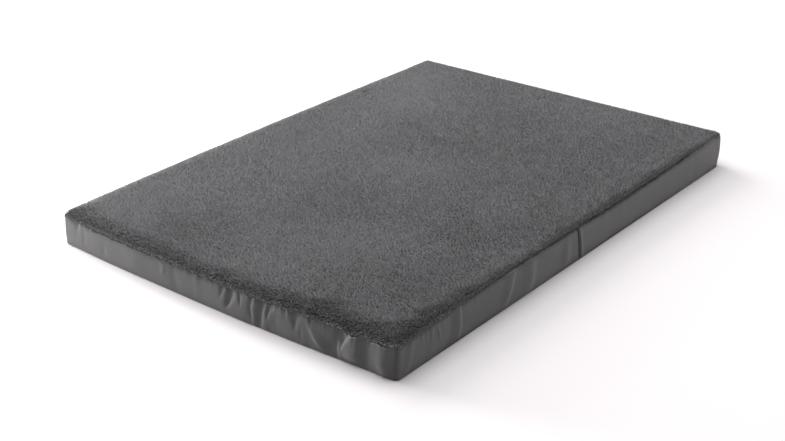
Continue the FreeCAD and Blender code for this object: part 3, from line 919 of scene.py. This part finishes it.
def boxing_strips():
    """The satin side cloth: one long strip in front and a short one at each rear corner."""
    panel_low, panel_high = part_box("zip_panel_upper")
    zip_start = straight(rear_place(panel_high.y))
    zip_end = straight(rear_place(panel_low.y))
    plans = [
        ("front_boxing", slanted(0), slanted(1), "sunk", "sunk", "front_boxing_strip"),
        ("rear_boxing_left", slanted(1), zip_start, "rolled", "butt", "rear_boxing_strip_left"),
        ("rear_boxing_right", zip_end, slanted(0, ROUND), "butt", "rolled",
         "rear_boxing_strip_right"),
    ]
    for name, start, end, start_edge, end_edge, node_name in plans:
        strip = band(name, start, end, start_edge, end_edge)
        finish_piece(strip, [satin_cloth], node_name)
        length = float(end(0.5) - start(0.5))


# ---------- zip

def zip_panels():
    """The two hemmed strips above and below the zip."""
    panel_low, panel_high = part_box("zip_panel_upper")
    start = straight(rear_place(panel_high.y))
    end = straight(rear_place(panel_low.y))
    lower_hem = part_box("zip_panel_lower")[1].z
    for name, low_edge, high_edge in (("lower", None, lower_hem), ("upper", panel_low.z, None)):
        panel = band(f"{name}_zip_panel", start, end, low_edge=low_edge, high_edge=high_edge)
        finish_piece(panel, [satin_cloth], f"zip_panel_{name}")


def zip_tapes():
    """Woven tapes with fine ribs along them."""
    for name in ("lower", "upper"):
        low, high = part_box(f"zip_tape_{name}")
        y, z = np.meshgrid(np.linspace(low.y, high.y, 260), np.linspace(low.z, high.z, 41),
                           indexing="ij")
        x = high.x - 0.1 * MM + 0.08 * MM * np.cos(2 * math.pi * (z - low.z) / (1.5 * MM))
        points = triples(x, y, z)
        tape = build(f"{name}_tape", points, grid_faces(*x.shape), uv=points[:, 1:])
        thicken(tape, 0.8 * (high.x - low.x))
        finish_piece(tape, [tape_cloth], f"zip_tape_{name}")


def tube(name, path, out, radius, sides=6):
    """A round wire along a path, where out gives a direction across it at each point."""
    ahead = unit(np.gradient(path, axis=0))
    out = unit(out - ahead * np.sum(out * ahead, axis=1)[:, None])
    side = np.cross(ahead, out)
    angle = (np.arange(sides) * 2 * math.pi / sides)[:, None]
    rings = path[:, None] + radius * (
        out[:, None] * np.cos(angle) + side[:, None] * np.sin(angle))
    return build_rings(name, rings)


def zip_coils():
    """A coil of nylon wire on each tape, with the loops of one between those of the other."""
    for name, inward, ahead in (("lower", 1, 0.5), ("upper", -1, 0)):
        low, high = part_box(f"zip_coil_{name}")
        loops = int((high.y - low.y) / COIL_PITCH)
        turn = np.linspace(0, loops, loops * 14 + 1) * 2 * math.pi
        wide = (high.x - low.x) / 2 - COIL_WIRE
        tall = (high.z - low.z) / 2 - COIL_WIRE + COIL_SHIFT
        round_x = np.sign(np.cos(turn)) * np.abs(np.cos(turn)) ** 0.7
        round_z = np.sign(np.sin(turn)) * np.abs(np.sin(turn)) ** 0.85
        path = triples((low.x + high.x) / 2 + wide * round_x,
                       low.y + COIL_PITCH * (turn / (2 * math.pi) + ahead),
                       (low.z + high.z) / 2 + inward * COIL_SHIFT + tall * round_z)
        out = triples(np.cos(turn), 0 * turn, np.sin(turn))
        coil = tube(f"{name}_coil", path, out, COIL_WIRE)
        finish_piece(coil, [nylon], f"zip_coil_{name}")


def patch_extent():
    """The inner and outer y and the lower and upper z of the patch over one end of the zip."""
    low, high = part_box("zip_end_tabs")
    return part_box("zip_tape_lower")[1].y - PATCH_OVERLAP, high.y, low.z, high.z


def end_patches():
    """A sewn-on patch of side cloth over each end of the zip."""
    inner, outer, bottom, top = patch_extent()
    wide = outer - inner
    tall = top - bottom
    rows, columns = 24, 28
    points = []
    faces = []
    for side in (-1, 1):
        across, up = np.meshgrid(np.linspace(0, 1, rows), np.linspace(0, 1, columns),
                                 indexing="ij")
        z = bottom + tall * up
        y = side * (inner + wide * across)
        border = np.minimum(np.minimum(across, 1 - across) * wide,
                            np.minimum(up, 1 - up) * tall)
        place, out = on_side(rear_place(y), z)
        rise = 0.35 * MM + 0.6 * MM * smooth_step(0, 1.5 * MM, border)
        rise -= 0.4 * MM * hump(border, PATCH_HEM, 0.7 * MM)
        rise += 0.15 * MM * wave_field(y, z, 7 * MM, 51)
        grid = grid_faces(rows, columns) + rows * columns * len(points)
        points.append((place + out * rise[..., None]).reshape(-1, 3))
        faces.append(grid if side > 0 else grid[:, ::-1])
    points = np.concatenate(points)
    patches = build("zip_end_patches", points, np.concatenate(faces), uv=points[:, 1:])
    thicken(patches, 0.6 * FABRIC, 1)
    finish_piece(patches, [satin_cloth], "zip_end_tabs")


def label():
    """A blank ribbon label, folded double and caught in the lower part of the rear side."""
    low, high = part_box("care_label")
    along, path = np.meshgrid(np.linspace(0, 1, 25), np.linspace(0, 2, 41), indexing="ij")
    down = np.minimum(path, 2 - path)
    x = low.x + 0.3 * MM + 1.6 * MM * down ** 2 * (0.8 + 0.2 * np.cos(3 * math.pi * along))
    x += 0.5 * MM * np.cos(math.pi / 2 * path)
    y = low.y + (high.y - low.y) * along
    z = high.z - (high.z - low.z) * np.sin(math.pi / 2 * down) ** 0.9
    points = triples(x, y, z)
    ribbon = build("blank_label", points, grid_faces(*x.shape), uv=points[:, 1:])
    thicken(ribbon, 0.25 * MM, 0)
    finish_piece(ribbon, [ribbon_cloth], "care_label")


# ---------- stitches

# A stitch has two end points, 0 and 1, and three rings of four points between them.
STITCH_TRIANGLES = []
for corner in range(4):
    following = (corner + 1) % 4
    STITCH_TRIANGLES.append((0, 2 + corner, 2 + following))
    STITCH_TRIANGLES.append((1, 10 + following, 10 + corner))
    for ring in (2, 6):
        STITCH_TRIANGLES.append((ring + corner, ring + 4 + corner, ring + 4 + following))
        STITCH_TRIANGLES.append((ring + corner, ring + 4 + following, ring + following))


def stitches(name, lines, node_name):
    """Rows of lock stitches. Each line is a function from a share to points, and its length."""
    points = []
    for line, length in lines:
        count = max(int(length / STITCH_STEP), 1)
        start = np.arange(count) / count
        places = [line(start + share * 0.8 / count) for share in (0, 0.2, 0.5, 0.8, 1)]
        ahead = unit(places[3][0] - places[1][0])
        out = places[2][1]
        side = np.cross(ahead, out)
        lift = (-0.35, 0.12, 0.22, 0.12, -0.35)
        centres = [place[0] + out * rise * MM for place, rise in zip(places, lift)]
        corners = [centres[0], centres[4]]
        for centre in centres[1:4]:
            for turn in range(4):
                angle = turn * math.pi / 2
                corners.append(centre + THREAD * (
                    out * math.cos(angle) * 0.8 + side * math.sin(angle)))
        points.append(np.stack(corners, axis=1).reshape(-1, 3))
    points = np.concatenate(points)
    first = np.arange(0, len(points), 14)[:, None, None]
    piece = build(name, points, (first + np.array(STITCH_TRIANGLES)).reshape(-1, 3))
    finish_piece(piece, [sewing_thread], node_name)


def seam_stitches():
    """Stitches along the bottom edge, the upper seam and beside the two slanted seams."""
    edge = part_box("bottom_seam_stitching")[0].z
    drop = SEAM_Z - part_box("top_seam_stitching")[0].z
    low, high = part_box("side_seam_stitching")
    tall = high.z - low.z

    def bottom_line(share):
        return on_side(share * ROUND, edge + 0 * share)

    def top_line(share):
        return on_side(share * ROUND, seam_height(share * ROUND) - drop)

    def side_line(which, aside):
        def line(share):
            level = low.z + tall * share
            return on_side(side_seam(level / SEAM_Z, which) + aside, level)
        return line, tall

    stitches("bottom_stitches", [(bottom_line, ROUND)], "bottom_seam_stitching")
    stitches("top_stitches", [(top_line, ROUND)], "top_seam_stitching")
    stitches("side_stitches", [side_line(0, SEAM_TO_STITCH), side_line(1, -SEAM_TO_STITCH)],
             "side_seam_stitching")


def rear_line(start, end, lift):
    """A straight line of stitches on the rear side, from one y and z to another."""
    def line(share):
        y = start[0] + (end[0] - start[0]) * share
        z = start[1] + (end[1] - start[1]) * share
        place, out = on_side(rear_place(y), z)
        return place + out * lift, out
    return line, math.dist(start, end)


def zip_stitches():
    """Stitches along both zip panels and round each end patch."""
    low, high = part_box("zip_stitching")
    lines = [rear_line((low.y, level), (high.y, level), 0) for level in (low.z, high.z)]
    inner, outer, bottom, top = patch_extent()
    for side in (-1, 1):
        near_y = side * (inner + PATCH_HEM)
        far_y = side * (outer - PATCH_HEM)
        corners = [(near_y, bottom + PATCH_HEM), (far_y, bottom + PATCH_HEM),
                   (far_y, top - PATCH_HEM), (near_y, top - PATCH_HEM)]
        for start, end in zip(corners, corners[1:] + corners[:1]):
            lines.append(rear_line(start, end, PATCH_LIFT))
    stitches("zip_stitches", lines, "zip_stitching")


# ---------- base, foam and liner

def inset_ring(inset, level, around=360):
    """Points round the pad, in from the side and at one level."""
    distance = (np.arange(around) + 0.5) * ROUND / around
    x, y = settle(*outline(distance, -inset))
    return triples(x, y, level + 0 * x)


def base_panel():
    """The woven base, with its edge turned up into the lower seam."""
    turned_up = [(1.6, 1.2), (1.2, 0.9), (1.2, 0.5), (1.8, 0.1), (3, 0), (12, 0)]
    rings = [inset_ring(inset * MM, level * MM) for inset, level in turned_up]
    rows = (towards_middle(rings[0], np.linspace(0.001, 1, 8)[:-1]) + rings
            + towards_middle(rings[-1], np.linspace(1, 0.001, 8)[1:]))
    piece = build_rings("base_cloth", rows, uv=np.concatenate(rows)[:, :2])
    finish_piece(piece, [base_cloth], "bottom_panel")


def foam_block(name, node_name, material, edge_round, top_level):
    """A foam layer with eased edges; top_level gives the height of its upper face."""
    low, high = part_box(node_name)
    inset = base_high.x - high.x
    columns = 220
    ease = []
    for angle in np.linspace(0, math.pi / 2, 5):
        ease.append((edge_round * (1 - math.sin(angle)), edge_round * (1 - math.cos(angle))))
    rings = [inset_ring(inset + inward, low.z + rise, columns) for inward, rise in ease]
    for inward, rise in ease[::-1]:
        ring = inset_ring(inset + inward, 0, columns)
        ring[:, 2] = top_level(ring[:, 0], ring[:, 1]) - rise
        rings.append(ring)
    for ring in towards_middle(rings[-1], np.linspace(1, 0.001, 24)[1:]):
        ring[:, 2] = top_level(ring[:, 0], ring[:, 1])
        rings.append(ring)
    rows = towards_middle(rings[0], np.linspace(0.001, 1, 8)[:-1]) + rings
    block = build_rings(name, rows)
    finish_piece(block, [material], node_name)


def foam_layers():
    """A firm base and a soft layer, which is crowned like the cover over it."""
    base_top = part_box("support_foam_base")[1].z - 0.3 * MM
    foam_block("support_foam", "support_foam_base", pale_foam, 2 * MM,
               lambda x, y: base_top + 0 * x)
    foam_block("memory_foam", "memory_foam_layer", cream_foam, 4 * MM,
               lambda x, y: cover_height(x, y) - FOAM_UNDER_COVER)


def liner():
    """A tray and a lid of thin film round the foam, which meet at half height."""
    low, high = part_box("inner_liner_lower")
    inset = base_high.x - high.x
    columns = 420
    distance = (np.arange(columns) + 0.5) * ROUND / columns

    def film_ring(inward, level):
        ripple = 0.15 * MM * wave_field(distance, level + 0 * distance, 16 * MM, 81)
        ring = inset_ring(inset + inward, level, columns)
        ring[:, :2] += ripple[:, None] * np.sign(ring[:, :2])
        return ring

    tray = [film_ring(0, level) for level in np.linspace(high.z - 0.1 * MM, low.z + 2 * MM, 6)]
    tray += [film_ring(0.6 * MM, low.z + 0.7 * MM), film_ring(2 * MM, low.z)]
    tray += towards_middle(tray[-1], np.linspace(1, 0.001, 10)[1:])
    lid = [film_ring(0, level) for level in np.linspace(high.z + 0.1 * MM, SEAM_Z - 11 * MM, 6)]
    for ring in towards_middle(film_ring(1.2 * MM, 0), np.linspace(1, 0.001, 26)):
        ring[:, 2] = cover_height(ring[:, 0], ring[:, 1]) - LINER_UNDER_COVER
        lid.append(ring)
    for name, rings in (("lower", tray), ("upper", lid)):
        film = build_rings(f"{name}_liner", rings)
        thicken(film, FILM, 0)
        finish_piece(film, [liner_film], f"inner_liner_{name}")
        low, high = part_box(f"inner_liner_{name}")


make_camera()
make_stage()
plush_top()
boxing_strips()
zip_panels()
zip_tapes()
zip_coils()
end_patches()
label()
seam_stitches()
zip_stitches()
base_panel()
foam_layers()
liner()

for node_name, material in (("zip_slider", slider_enamel), ("zip_pull_tab", slider_enamel),
                            ("zip_top_stops", pressed_steel), ("zip_bottom_stop", pressed_steel)):
    for material_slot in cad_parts[node_name].material_slots:
        material_slot.material = material
